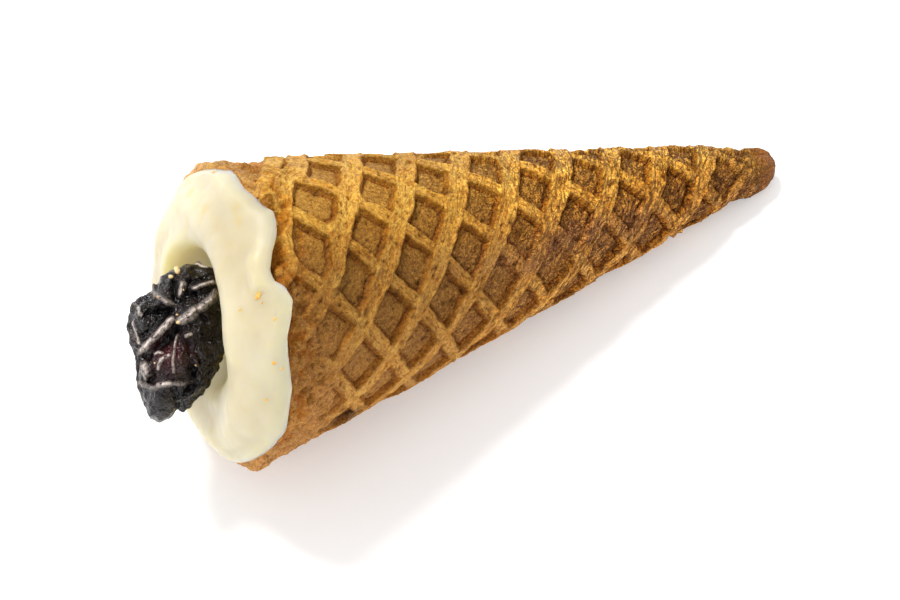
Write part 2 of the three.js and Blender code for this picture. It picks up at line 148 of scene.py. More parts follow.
def radial(turn):
    angle = (np.asarray(turn, float) + FRONT_FROM_TOP) * RAD
    return np.cos(angle)[..., None] * UPWARD + np.sin(angle)[..., None] * SIDEWARD


def axis_point(distance, radius, turn):
    """A point from its distance along the axis, its distance from the axis and its turn."""
    return np.asarray(distance)[..., None] * OUTWARD + np.asarray(radius)[..., None] * radial(turn)


def cone_point(slant, turn, lift):
    return axis_point(slant * COS - lift * SIN, slant * SIN + lift * COS, turn)


def rim_rise(turn):
    past = turn_gap(turn, LAP_RISE_TURN)
    lap = LAP_RISE * bell(past, np.where(past < 0, LAP_RISE_REACH_BACK, LAP_RISE_REACH))
    angle = np.asarray(turn) * RAD
    return lap + MOUTH_WAVE * (np.sin(5 * angle) + np.sin(9 * angle + 2))


def rim_slant(turn):
    lower = np.interp(turn_gap(turn, 0), *RIM_FALL.T)
    return MOUTH_SLANT + MOUTH_TILT * np.sin(np.asarray(turn) * RAD) + rim_rise(turn) - lower


def make_mesh(name, points, faces, values=None):
    """A mesh object from points in millimetres from the cone's point, with attributes from values."""
    mesh = bpy.data.meshes.new(name)
    faces = [np.asarray(group, int) for group in faces if len(group)]
    loops = np.concatenate([group.ravel() for group in faces])
    sizes = np.concatenate([np.full(len(group), group.shape[1]) for group in faces])
    starts = np.concatenate([[0], np.cumsum(sizes)[:-1]])
    places = points + APEX
    # nothing reaches below the floor
    places[:, 2] = (places[:, 2] + np.sqrt(places[:, 2] ** 2 + FLOOR_SOFTNESS)) / 2
    mesh.vertices.add(len(points))
    mesh.vertices.foreach_set("co", (places * MM).astype(np.float32).ravel())
    mesh.loops.add(len(loops))
    mesh.loops.foreach_set("vertex_index", loops.astype(np.int32))
    mesh.polygons.add(len(sizes))
    mesh.polygons.foreach_set("loop_start", starts.astype(np.int32))
    mesh.update(calc_edges=True)
    mesh.validate()
    for key, numbers in (values or {}).items():
        attribute = mesh.attributes.new(key, "FLOAT", "POINT")
        attribute.data.foreach_set("value", np.asarray(numbers, np.float32))
    mesh.polygons.foreach_set("use_smooth", np.ones(len(mesh.polygons), bool))
    thing = bpy.data.objects.new(name, mesh)
    bpy.context.scene.collection.objects.link(thing)
    return thing


def strip(upper, lower):
    """Faces between two closed rows of points; the lower one may have half as many columns."""
    wrap = np.array([[lower[-1], upper[-1], upper[0], lower[0]]])
    left, right = lower[:-1], lower[1:]
    if len(upper) == len(lower):
        return [np.concatenate([np.stack([left, upper[:-1], upper[1:], right], 1), wrap])]
    near, mid, far = upper[:-2:2], upper[1:-1:2], upper[2::2]
    corners = ((left, near, mid), (left, mid, right), (right, mid, far))
    return [np.concatenate([np.stack(three, 1) for three in corners]), wrap]


# ======== The waffle's surface ========

# steep ribs lie over the flatter ones
RIB_SETS = (
    dict(name="steep", normal=-39.0, phase=0.036, half=0.84, narrower=0.24, height=1.0, seed=1),
    dict(name="flatter", normal=39.6, phase=0.114, half=0.60, narrower=0.04, height=0.9, seed=2),
)

# the steep rib nearest the rim isn't straight: turn, and how far it is moved towards the rim
RIM_RIB_BEND = np.array((
    (-60, 0), (-50, 0.8), (-41, 0.95), (-28, 0.65), (-22, 0.5), (-16, 0), (-5, -0.7), (5, 0),
))

# worn places: slant, turn, reach along, reach round in degrees, how much of the ribs is gone
WORN = (
    (58.4, 30, 2.7, 30, 1.1),
    (57.8, 62, 2.4, 18, 1.1),
    (57.5, 88, 2.6, 20, 1.0),
    (38.0, 19, 4.0, 11, 0.45),
    (32.0, 17, 4.5, 13, 0.75),
    (25.5, 22, 3.5, 16, 0.5),
    (10.5, 40, 4.0, 150, 0.75),
)

# purplish grey bruises, placed alike
BRUISES = (
    (39.2, 14, 2.2, 8, 0.75),
    (36.0, 21, 2.2, 8, 0.9),
    (33.4, 16, 2.0, 8, 1.0),
    (31.2, 14, 2.2, 8, 1.0),
    (28.8, 17, 2.2, 10, 0.95),
    (24.5, 24, 2.5, 14, 0.8),
    (43.5, 10, 2.0, 6, 0.4),
)

# single bumps and pits: slant, turn, radius, height
FORMS = (
    (57.4, -43, 0.8, 0.6), (57.5, -38, 0.75, 0.7), (57.8, -34, 0.55, 0.65), (56.3, -45, 0.7, 0.25),
    (56.0, -39, 0.35, -0.5), (56.3, -34, 0.4, -0.5), (57.3, -30, 0.35, -0.5), (55.3, -45, 0.3, -0.4),
    (58.6, -13, 0.75, -0.65), (58.2, -17, 0.5, -0.4), (58.6, -2, 0.8, 0.30), (57.9, 8, 0.55, -0.45),
    (58.5, 39, 0.36, -0.6), (58.0, 44, 0.42, -0.7), (55.3, 52, 0.45, -0.6),
    (56.4, 58, 0.42, -0.6), (57.1, 29, 0.35, -0.4), (50.6, -33, 0.2, -0.7),
    (57.6, 18, 0.7, 0.22), (57.9, 52, 0.9, 0.2), (56.2, 40, 0.8, 0.18), (55.6, 24, 0.7, 0.15),
    (54.9, 75, 0.8, -0.5), (53.8, 75, 0.8, -0.5), (52.9, 76, 0.7, -0.4),
    (36.4, 3, 0.7, -0.3), (34.6, 6, 0.5, 0.25),
)

# the knob beside the ring, which keeps its pale crust, placed like the bruises
KNOB = ((57.4, -43, 1, 5, 1), (57.6, -37, 1, 5, 1))

# painted shadow: the shaded side of a sunken panel on the lower outline, placed alike
PAINTED_SHADOW_PLACES = ((54.9, 74, 0.8, 7, 1), (53.8, 75, 0.8, 7, 1), (52.8, 76, 0.8, 7, 1))

# pores: how many, seed, least and greatest radius, depth as a share of the radius
PORES = ((1500, 21, 0.10, 0.20, 0.9), (260, 22, 0.18, 0.30, 0.8))


def in_places(places, slant, turn):
    """How strongly each point is in any of the places, 0 to about 1."""
    total = np.zeros(len(slant))
    for at_slant, at_turn, along, around, amount in places:
        near = bell(slant - at_slant, along) * bell(turn_gap(turn, at_turn), around)
        total = np.maximum(total, amount * near)
    return total


def rib_set(rule, flat_u, flat_v, place, turn):
    """One rib family: height, 0 to about 1, how far each point is on a strap, and its coordinates."""
    normal = rule["normal"] * RAD
    across = flat_u * math.cos(normal) + flat_v * math.sin(normal)
    along = flat_v * math.cos(normal) - flat_u * math.sin(normal)
    noise = Noise(10 * rule["seed"])
    across = across + 0.18 * noise(place * 0.3)
    if rule["name"] == "steep":
        by_rim = smooth(52.6, 54.2, flat_u / np.cos(turn * SIN * RAD))
        across = across - np.interp(turn, *RIM_RIB_BEND.T) * by_rim
    number = np.round(across / RIB_PITCH - rule["phase"])
    offset = across - (number + rule["phase"]) * RIB_PITCH
    narrower = rule["narrower"] * smooth(-30, 45, turn) * smooth(140, 90, turn)
    half = (rule["half"] - narrower) * (1 + 0.17 * noise(place * 0.42 + 5))
    ragged = 0.13 * noise.layers(place * 1.2 + 9, 2)
    outside = np.abs(offset) - half + ragged
    strap = smooth(0.18, -0.09, outside)
    level = rule["height"] * (1 + 0.16 * noise(place * 0.5 + 3))
    grooved = smooth(-0.15, 0.45, noise(np.stack([along * 0.22, number * 3.7, 0 * along], 1)))
    fibre = noise(np.stack([offset * 3.2, along * 0.6, number * 2.3], 1))
    detail = 0.16 * bell(outside + 0.17, 0.13) - 0.22 * grooved * bell(offset, 0.2) + 0.13 * fibre
    return level * strap + strap * detail, strap, dict(across=across, along=along, out=outside)


def pits(count, seed, least, most):
    """Places and sizes of small pores, spread evenly over the sheet."""
    rng = np.random.default_rng(seed)
    slant = np.sqrt(rng.uniform(TIP_SLANT ** 2, MOUTH_SLANT ** 2, count))
    turn = rng.uniform(FREE_EDGE, SEAM_END, count)
    return slant, turn, rng.uniform(least, most, count)


def press_pits(lift, mask, slant, turn, places, depth):
    """Presses pores into the lift and marks them in the mask; depth is a share of each pore's radius."""
    order = np.argsort(slant, kind="stable")
    sorted_slant = slant[order]
    for at_slant, at_turn, radius in zip(*places):
        first, last = np.searchsorted(sorted_slant, (at_slant - 2 * radius, at_slant + 2 * radius))
        near = order[first:last]
        round_mm = turn_gap(turn[near], at_turn) * RAD * at_slant * SIN
        close = np.abs(round_mm) < 2 * radius
        near, round_mm = near[close], round_mm[close]
        share = np.exp(-((slant[near] - at_slant) ** 2 + round_mm ** 2) / (0.55 * radius ** 2))
        lift[near] -= depth * radius * share
        mask[near] = np.maximum(mask[near], share)


def relief(slant, turn):
    """Lift of the outer surface at each point, and the masks that colour it."""
    # places on the sheet laid flat
    angle = turn * SIN * RAD
    flat_u, flat_v = slant * np.cos(angle), slant * np.sin(angle)
    place = cone_point(slant, turn, np.zeros(len(slant)))
    coarse, fine = Noise(3), Noise(4)

    steep, steep_strap, steep_at = rib_set(RIB_SETS[0], flat_u, flat_v, place, turn)
    flatter, flatter_strap, flatter_at = rib_set(RIB_SETS[1], flat_u, flat_v, place, turn)
    ribs = np.maximum(steep, flatter)
    strap = np.maximum(steep_strap, flatter_strap)
    outside = np.minimum(steep_at["out"], flatter_at["out"])
    rim = rim_slant(turn)
    below_rim = rim - slant

    # the outer lap's cut corner and free edge are bordered like the ribs
    corner = rim - CORNER_CUT * (1 - smooth(-92, -30, turn)) + 0.30 * fine(place * 0.8 + 1)
    border = smooth(1.7, 1.3, corner - slant + 0.3 * fine(place * 0.9)) * smooth(-40, -50, turn)
    side = (turn - FREE_EDGE) * RAD * slant * SIN
    border = np.maximum(border, 0.8 * smooth(1.0, 0.75, side + 0.25 * fine(place * 0.7 + 3)))
    border *= 0.94 + 0.22 * fine.layers(place * 1.1 + 7, 3)
    outside = np.where(border > 0.5, 0.5, outside)

    worn = np.clip(in_places(WORN, slant, turn) * (1.15 + 0.4 * coarse(place * 0.7)), 0, 1)
    worn = np.maximum(worn, smooth(SEAM_END - 26, SEAM_END, turn))
    ribs = np.maximum(ribs * (1 - worn), border)
    strap_left = np.maximum(strap * (1 - 0.85 * worn), border)

    # the foot of each rib: a groove, also painted with shade in the material
    crevice = bell(outside - 0.17, 0.085) * (1 - worn) * smooth(-0.7, 0.1, coarse(place * 0.55 + 2))
    panel = 0.07 * coarse(place * 0.5) + 0.06 * fine.layers(place * 2.0, 3)
    rough_form = coarse.layers(place * 0.95 + 4, 4)
    lumps = worn * (0.2 + 0.3 * rough_form)
    lift = RIB_HEIGHT * (ribs - 1) + panel * (1 - 0.4 * strap_left) + lumps
    lift -= (0.15 + 0.22 * smooth(38, 24, slant)) * crevice
    lift += 0.09 * coarse(place * 0.14 + 6)

    # towards the tip the sheet is crumpled, mostly along the steep ribs
    crumple = np.stack([steep_at["across"] * 1.5, steep_at["along"] * 0.42, 0 * slant], 1)
    crumple = 0.12 * fine.layers(crumple, 3, 0.6) + 0.05 * coarse.layers(place * 1.5 + 12, 2) - 0.08
    lift += smooth(34, 15, slant) * crumple

    for at_slant, at_turn, radius, height in FORMS:
        round_mm = turn_gap(turn, at_turn) * RAD * at_slant * SIN
        away = np.hypot(slant - at_slant, round_mm) * (1 + 0.25 * fine(place * 1.1))
        lift += height * smooth(1.25, 0.45, away / radius)

    # crumbly beside the ring, but not at the back
    rim_edge = smooth(1.5, 0.1, below_rim)
    beside_ring = smooth(3.0, 1.0, below_rim) * smooth(120, 95, turn)
    lift += beside_ring * 0.24 * coarse.layers(place * 1.15 + 8, 3) - 0.08 * rim_edge

    # the inner lap, which shows beyond the outer lap's corner, smooth towards the back
    on_outer = np.where(turn < -30, smooth(corner + 0.24, corner - 0.02, slant), 1.0)
    on_inner = 1 - on_outer
    crumbly = smooth(-118, -98, turn_gap(turn, 0))
    inner = -RIB_HEIGHT - LAP_SINK - 0.12 + (LAP_FLARE + 0.1) * smooth(54.6, 58.6, slant)
    inner -= 0.6 * smooth(57.2, 55.0, slant)
    inner += (0.06 + 0.24 * crumbly) * fine.layers(place * 1.2 + 3, 3)
    sink = LAP_SINK * (slant / MOUTH_SLANT) * smooth(SEAM_END - 110, SEAM_END, turn)
    flare = LAP_FLARE * smooth(54.4, 58.4, slant) * smooth(SEAM_END - 110, SEAM_END - 20, turn)
    lift = on_outer * (lift - sink + flare) + on_inner * inner

    pores = np.zeros(len(slant))
    for *spread, depth in PORES:
        press_pits(lift, pores, slant, turn, pits(*spread), depth)

    # golden crust in the hollows near the rim, and pale crust on the rim
    band = smooth(3.4, 1.2, below_rim + 0.7 * fine(place * 0.7 + 5)) * smooth(-70, -50, turn)
    form = coarse.layers(place * 1.15 + 8, 2) + 0.6 * rough_form
    in_hollows = smooth(0.12, -0.38, form - 0.35 * smooth(0.9, 0.0, below_rim))
    band *= in_hollows * (1 - in_places(KNOB, slant, turn)) * smooth(100, 60, turn)
    at_back = np.maximum(smooth(190, 230, turn), on_inner * smooth(-70, -80, turn))
    pale = smooth(1.8, 1.1, below_rim) * at_back
    pale += 0.5 * smooth(3.4, 2.0, below_rim) * smooth(60, 75, turn)

    # painted light and shade: lighter on the upper side and from the lower side round the back, darker in
    # the middle near the mouth; the crust's own colour besides, lighter along the middle and towards the
    # tip
    tone = 0.78 + 0.34 * smooth(50, 22, slant) + 0.18 * bell(turn + 37, 19) + 0.12 * smooth(30, 60, turn)
    tone -= 0.22 * bell(slant - 52, 9) * bell(turn - 3, 24)
    tone += 0.40 * smooth(47, 33, slant) * smooth(9, 18, slant) - 0.04 * smooth(51, 55, slant)
    tone += 0.10 * bell(slant - 47, 4) * smooth(8, -12, turn) + 0.20 * smooth(10, 5, slant)
    masks = dict(
        rib=np.clip(strap_left * on_outer, 0, 1),
        worn=np.clip(worn + on_inner, 0, 1),
        crevice=np.clip(crevice * on_outer, 0, 1),
        bruise=in_places(BRUISES, slant, turn) * np.clip(0.75 + 0.6 * coarse(place * 0.8), 0, 1),
        edge=np.clip(np.maximum(band, on_inner * crumbly * in_hollows), 0, 1),
        pale=np.maximum(pale, 0.45 * on_inner),
        # painted shadow on the lower outline
        dark=in_places(PAINTED_SHADOW_PLACES, slant, turn),
        tone=tone,
        green=1 - 0.10 * smooth(-35, -5, turn),
        blue=1 - 0.22 * bell(turn + 12, 20) - 0.08 * bell(turn - 15, 15),
        pore=pores,
        fine=smooth(58, 26, slant),
    )
    for rule, at in zip(RIB_SETS, (steep_at, flatter_at)):
        masks.update({rule["name"] + "_" + key: numbers for key, numbers in at.items()})
    return lift, masks


def build_waffle():
    columns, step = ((368, 0.156))
    # columns are closer together on the side that shows
    sweep = np.linspace(FREE_EDGE, SEAM_END, 3001)
    shown = smooth(-100, -70, sweep) * smooth(120, 80, sweep) + smooth(240, 262, sweep)
    weight = np.concatenate([[0], np.cumsum(1 + 2.4 * shown[1:])])
    turns = np.interp(np.linspace(0, weight[-1], columns + 1), weight, sweep)

    rows = []            # (slants, turns) of each row of the outer surface, from the rim to the tip
    bands = ((MOUTH_SLANT, 30.0, 1), (30.0, 15.0, 2), (15.0, TIP_SLANT, 4))
    for top, bottom, skip in bands:
        count = round((top - bottom) / step)
        here = turns[::skip]
        start = rim_slant(here) if skip == 1 else np.full(len(here), top)
        for k in range(0 if skip == 1 else 1, count + 1):
            rows.append((start + (bottom - start) * k / count, here))
    slant, turn = (np.concatenate(part) for part in zip(*rows))
    lift, masks = relief(slant, turn)
    bend = TIP_BEND * radial(TIP_BEND_TURN)
    outer = cone_point(slant, turn, lift) + smooth(14, 11, slant)[:, None] * bend

    # over the rim and down the inside: how far out; how deep, as a length and a share of the thickness
    wide = len(turns)
    shape = []
    for angle in np.radians((78, 62, 46, 30, 15)):
        shape.append((RIM_ROUND * math.cos(angle), RIM_ROUND * (1 - math.sin(angle)), 0))
    for share in (0.12, 0.26, 0.40, 0.54, 0.68, 0.82):
        shape.append((RIM_ROUND, RIM_ROUND * (1 - 2 * share), share))
    for angle in np.radians((0, 30, 60)):
        shape.append((RIM_ROUND * math.cos(angle), RIM_ROUND * (math.sin(angle) - 1), 1))
    shape += [(-1.0, 0, 1), (-2.5, 0, 1), (-5.0, 0, 1)]
    crumbly = Noise(7)
    inner_rows = []
    # rougher beside the ring than at the back
    raw = 0.3 + 0.7 * smooth(-112, -95, turn_gap(turns, 0)) * smooth(120, 95, turn_gap(turns, 0))
    for rise, depth, share in shape:
        below = depth + share * (lift[:wide] + WALL)
        base = cone_point(slant[:wide] + rise - RIM_ROUND * 0.2, turns, lift[:wide] - below)
        bumpy = raw * (0.20 * crumbly.layers(base * 1.3, 3) + 0.07 * crumbly(base * 4))
        inner_rows.append(base + bumpy[:, None] * (OUTWARD + 0.4 * radial(turns)))
    inner = np.concatenate(inner_rows[::-1])

    # the blunt tip, its nose towards the upper side
    last = outer[-len(here):]
    tip_rows = []
    middle = (last @ OUTWARD).mean()
    spread = last - (last @ OUTWARD)[:, None] * OUTWARD
    for angle in np.radians((75, 60, 45, 30, 15, 0)):
        sine, cosine = math.sin(angle), math.cos(angle)
        nose = NOSE_SHIFT * (1 - sine) * radial(NOSE_TURN) + bend
        base = (spread - bend) * sine + (middle - NOSE_LENGTH * cosine) * OUTWARD + nose
        bumpy = 0.12 * crumbly.layers(base * 1.4 + 30, 3)
        tip_rows.append(base + bumpy[:, None] * radial(here) if angle else base[:1])
    tip = np.concatenate(tip_rows)

    sizes = [wide] * len(shape) + [len(row[0]) for row in rows] + [len(row) for row in tip_rows]
    *indices, point = np.split(np.arange(sum(sizes)), np.cumsum(sizes)[:-1])
    faces = []
    for upper, lower in zip(indices, indices[1:]):
        faces += strip(upper, lower)
    end = indices[-1]
    faces.append(np.stack([np.full(len(end), point[0]), end, np.roll(end, -1)], 1))
    faces.sort(key=lambda group: group.shape[1])     # triangles first

    values = {}
    for key, numbers in masks.items():
        over = np.tile(numbers[:wide], len(shape))
        values[key] = np.concatenate([over, numbers, np.full(len(tip), numbers[-1])])
    inside, on_tip = slice(len(inner)), slice(-len(tip), None)
    values["edge"][inside] = np.maximum(values["edge"][inside], 0.4)
    values["edge"][on_tip] = 0.5
    values["worn"][inside] = 1
    for key, within, at_tip in (("rib", 0.6, 0.5), ("steep_out", 1, 1), ("flatter_out", 1, 1)):
        values[key][inside], values[key][on_tip] = within, at_tip
    return make_mesh("waffle_shell", np.concatenate([inner, outer, tip]), faces, values)


# ======== The yogurt ========

# radius and height over the mouth: from inside the wall, over the rim and the crest, into the dimple
MOUND = np.array((
    (8.9, -2.5), (9.5, -0.4), (10.3, 0.45), (11.4, 0.22), (12.15, 0), (12.45, 0.45), (12.1, 1.5),
    (11.1, 2.6), (10, 3.4), (8.8, 3.92), (7.6, 3.85), (6.5, 3.2), (5.6, 2.3), (4.9, 1.5), (3.6, 0.9),
    (1.8, 0.6), (0.05, 0.55),
))
WALL_INSIDE = MOUTH_SLANT * SIN - WALL / COS
MOUTH_DISTANCE = MOUTH_SLANT * COS

# how far the foot of the ring runs down the cone at each turn, or falls back
FOOT_LINE = np.array((
    (-100, 0), (-60, 0), (-50, -0.3), (-45, -0.35), (-40, -0.15), (-34, -0.1), (-30, 0.25), (-25, 0.05),
    (-20, -0.3), (-15, -0.8), (-9, -1.1), (-5, -0.85), (-2, -0.1), (3, 0.35), (9, 0.05), (15, -0.35),
    (21, -0.3), (28, 0.05), (34, 0.3), (46, 0.2), (53, 0.25), (60, 0), (80, 0), (260, 0),
))


def catmull(points, count):
    """A smooth curve through the points, count steps on each piece."""
    padded = np.concatenate([[2 * points[0] - points[1]], points, [2 * points[-1] - points[-2]]])
    curve = []
    for k in range(len(points) - 1):
        a, b, c, d = padded[k:k + 4]
        for t in np.arange(count) / count:
            curve.append(0.5 * (2 * b + (c - a) * t + (2 * a - 5 * b + 4 * c - d) * t ** 2
                                + (3 * b - a - 3 * c + d) * t ** 3))
    return np.array(curve + [points[-1]])


def mound_point(radius, height, turn):
    """A point of the yogurt, from the profile's radius and height and the turn."""
    on_crest = smooth(0.8, 3, height)
    on_foot = smooth(9.6, 11.6, radius) * (1 - smooth(1.2, 3.2, height))
    on_rim = smooth(8.5, 10.2, radius) * (1 - smooth(0.8, 3.4, height))
    sag = smooth(-0.2, 1, np.cos((turn - 108) * RAD)) * on_crest
    swell = 0.35 * bell(turn_gap(turn, 212), 55) * on_crest
    shift = 0.25 * np.cos((turn - 12) * RAD) * smooth(2, 11, radius)
    # the ring is slimmer where the laps meet and along the lower side
    drawn = 0.55 * bell(turn_gap(turn, LAP_RISE_TURN), 60) + 0.5 * bell(turn_gap(turn, 108), 45)
    drawn *= np.maximum(radius - WALL_INSIDE, 0)
    # the foot line, softened over three degrees
    foot = sum(np.interp(turn_gap(turn, 80 - k) + 80 - k, *FOOT_LINE.T) for k in (-1.5, 0, 1.5)) / 3
    foot *= on_foot
    tilt = MOUTH_TILT * (radius / (MOUTH_SLANT * SIN)) * np.sin(turn * RAD)
    # the dimple's sides bulge at the back and at the lower end
    bulge = 1.3 * bell(radius - 5.8, 1.3) * bell(turn_gap(turn, -115), 65)
    bulge += 0.9 * bell(radius - 5.9, 1.1) * bell(turn_gap(turn, 85), 36)
    distance = MOUTH_DISTANCE + tilt + rim_rise(turn) * on_rim + height + bulge - sag + swell - foot
    return axis_point(distance, radius + shift - drawn + 0.25 * foot, turn)


def build_yogurt():
    profile = catmull(MOUND, 7)
    columns = 300
    turns = np.arange(columns) * 360 / columns
    slow, quick = Noise(31), Noise(32)
    rows = []
    for radius, height in profile:
        base = mound_point(np.full(columns, radius), np.full(columns, height), turns)
        free = smooth(0.3, 1.6, height) + 0.3
        waves = 0.13 * slow(base * 0.33) + 0.05 * slow(base * 0.8 + 4) + 0.012 * quick(base * 3)
        rows.append(base + (free * waves)[:, None] * (OUTWARD + 0.5 * radial(turns)))
    # the last two points close the dimple and the mound's start inside the cone
    points = np.concatenate(rows + [rows[-1].mean(0)[None], rows[0].mean(0)[None]])
    indices = np.arange(len(rows) * columns).reshape(-1, columns)
    first, last = indices[0], indices[-1]
    dimple = np.stack([last, np.full(columns, len(points) - 2), np.roll(last, -1)], 1)
    start = np.stack([np.full(columns, len(points) - 1), first, np.roll(first, -1)], 1)
    faces = [dimple, start]
    for upper, lower in zip(indices, indices[1:]):
        faces.append(np.stack([upper, lower, np.roll(lower, -1), np.roll(upper, -1)], 1))
    stain = 0.55 * smooth(0.05, 0.7, slow(points * 0.55 + 9)) * smooth(0.0, 0.6, quick(points * 1.1))
    # painted shade, a little darker on the upper side; painted light down in the dimple, which is lighter
    # and yellower
    shade = 0.22 * bell(turn_gap(turns, -36), 24) + 0.20 * bell(turn_gap(turns, -150), 36)
    shade = np.concatenate([np.tile(shade, len(rows)), (0, 0)])
    dimple_painted_light = np.concatenate([np.repeat(smooth(7.6, 4.8, profile[:, 0]), columns), (1, 0)])
    return make_mesh("yogurt", points, faces, dict(stain=stain, shade=shade, dimple_painted_light=dimple_painted_light))


# ======== The berry ========

BERRY_OUT, BERRY_DOWN, BERRY_LEAN = 5.2, 1.1, 30 * RAD
BERRY_NEARER = 0.9                        # towards the viewer
# section along the berry: angle from its lower end towards its outer side, and radius
BERRY_SECTION = np.array((
    (0, 6.3), (9, 6), (25, 5), (48, 3.9), (75, 3.8), (95, 4.3), (116, 4.75), (134, 4.5), (150, 5.1),
    (167, 5.8), (180, 6.4), (196, 6.3), (218, 4.75), (257, 4.1), (292, 3.8), (320, 4.8), (335, 5.5),
    (346, 5.2), (353, 6), (360, 6.3),
))
BERRY_HALF_DEPTH = 3.8
# its outline, as places in the picture
BERRY_OUTLINE = np.array((
    (228, 345), (224, 356), (219, 366), (212, 382), (202, 397), (194, 404), (185, 414), (178, 410),
    (173, 417), (162.5, 422.5), (151, 419), (147, 406), (137, 391), (136, 372), (135, 356), (129, 338),
    (126.5, 320), (131, 304), (137, 298), (146, 294), (157, 278), (169, 269.5), (178, 266), (185, 262),
    (195, 260.5), (205, 264), (214, 268), (220, 273), (220, 286), (224, 306), (226, 326),
))

# folds that face the viewer: height in millimetres, reach in picture units, pale bloom, which on the
# bright ridges is a painted highlight, and line in the picture
BERRY_FOLDS = (
    (0.8, 3.6, 1, ((141, 352), (150, 342), (161, 331), (172, 319))),
    (0.5, 2.4, 0.9, ((192, 288), (203, 285), (221, 281.5))),
    (0.7, 5.6, 0.75, ((182, 321), (192, 313), (204, 306), (217, 294))),
    (0.6, 4.5, 0.5, ((149, 290), (158, 296), (168, 302), (174, 305))),
    (0.15, 1.6, 1, ((194, 264.5), (198, 263.5), (201, 266), (206, 266.5))),
    (0.15, 1.8, 1, ((186, 337), (192, 334))),
    (0.25, 2.2, 1, ((158, 385), (166, 383.5), (172, 383))),
    (0.15, 1.8, 0.9, ((154, 354), (159, 351.5), (163, 353))),
    (0.2, 2, 0.8, ((133, 323), (136, 333), (140, 344))),
    (0.2, 2, 0.7, ((142, 372), (147, 380))),
    (0.2, 2.4, 0.7, ((135, 304), (140, 309), (141, 314))),
    (0.5, 3.5, 0.7, ((183, 284), (183, 289), (180, 297))),
    (0.7, 9, 0.1, ((136, 300), (139, 313))),
    (0.32, 1.9, 0.6, ((177, 335), (174.5, 351), (173.5, 372))),
    (0.35, 2.2, 0.8, ((170, 355), (162, 360), (159, 369))),
    (0.6, 13, 0, ((160, 358), (180, 358))),
    (0.55, 4, 0.45, ((139, 383), (155, 388), (172, 384), (184, 383))),
    (0.5, 10, 0, ((156, 399), (160, 412))),
    (0.6, 4.5, 0.25, ((218, 362), (211, 381), (198, 392), (187, 398))),
    (0.45, 6, 0, ((186, 336), (205, 328), (224, 318))),
    (0.45, 5, 0.3, ((131, 332), (136, 346))),
    (0.5, 5, 0.75, ((144, 366), (147, 374))),
    (0.4, 4, 0.25, ((178, 268), (192, 265), (205, 268))),
    (0.35, 4, 0.15, ((150, 290), (160, 277), (172, 270))),
    (-0.9, 5, 0, ((146, 314), (158, 313), (172, 309), (178, 301), (185, 294), (192, 292))),
    (-0.85, 4.5, 0, ((150, 357), (163, 344), (174, 334), (180, 327))),
    (-0.6, 4.5, 0, ((143, 335), (155, 322), (166, 314))),
    (-0.7, 3, 0, ((173.5, 282), (174, 292), (174.5, 301))),
    (-0.75, 3.5, 0, ((190, 282), (205, 277.5), (220, 273))),
    (-0.5, 4, 0, ((193, 295), (207, 291), (219, 287))),
    (-1.0, 5, 0, ((192, 369), (193, 374))),
    (-0.8, 3.5, 0, ((174, 388), (176, 397), (178, 410))),
    (-0.55, 4, 0, ((151, 362), (153, 375), (150, 382))),
    (-0.4, 4, 0, ((186, 340), (190, 355), (192, 366))),
    (-0.5, 3.5, 0, ((198, 384), (188, 389), (180, 395))),
    (-0.45, 3, 0, ((198, 300), (200, 312), (205, 320))),
)
RED_PLACE, RED_REACH = (170, 357), 19


def berry_axes():
    lower, away = radial(90), radial(180)
    along = lower * math.cos(BERRY_LEAN) + OUTWARD * math.sin(BERRY_LEAN)
    return along, np.cross(away, along), away


def folds(way, seed, count, sharp):
    """A net of ridges over the berry, midway between random centres: 1 on a ridge, 0 in the hollows."""
    rng = np.random.default_rng(seed)
    centres = rng.normal(size=(count, 3))
    centres /= np.linalg.norm(centres, axis=1)[:, None]
    warp = Noise(seed + 1)
    bent = way + 0.16 * np.stack([warp(way * 2.4 + shift) for shift in (0, 11, 23)], 1)
    nearest, second = np.full((2, len(way)), 9.0)
    for centre in centres:
        gap = np.linalg.norm((bent - centre) * (0.75, 1.1, 1.1), axis=1)
        second = np.minimum(second, np.maximum(nearest, gap))
        nearest = np.minimum(nearest, gap)
    return bell(second - nearest, sharp)


def unit_ball(subdivisions):
    """Directions spread over a ball, and the triangles between them."""
    shape = bmesh.new()
    bmesh.ops.create_icosphere(shape, subdivisions=subdivisions, radius=1)
    shape.verts.ensure_lookup_table()
    way = np.array([vertex.co for vertex in shape.verts], float)
    triangles = np.array([[vertex.index for vertex in face.verts] for face in shape.faces])
    shape.free()
    return way / np.linalg.norm(way, axis=1)[:, None], triangles


def in_picture(points):
    """Where points show in the picture, and how far away they are."""
    way = points - CAMERA_FROM_APEX
    depth = way @ np.array(LOOK)
    across, up = np.array((RIGHT, UP)) @ way.T / depth
    return FRAME_WIDTH / 2 + FOCAL * across, FRAME_HEIGHT / 2 - FOCAL * up, depth


def from_line(x, y, line):
    """Distance of picture places from a line of places."""
    nearest = np.full(len(x), 1e9)
    for (x0, y0), (x1, y1) in zip(line, line[1:]):
        dx, dy = x1 - x0, y1 - y0
        share = np.clip(((x - x0) * dx + (y - y0) * dy) / (dx * dx + dy * dy), 0, 1)
        nearest = np.minimum(nearest, np.hypot(x - x0 - share * dx, y - y0 - share * dy))
    return nearest


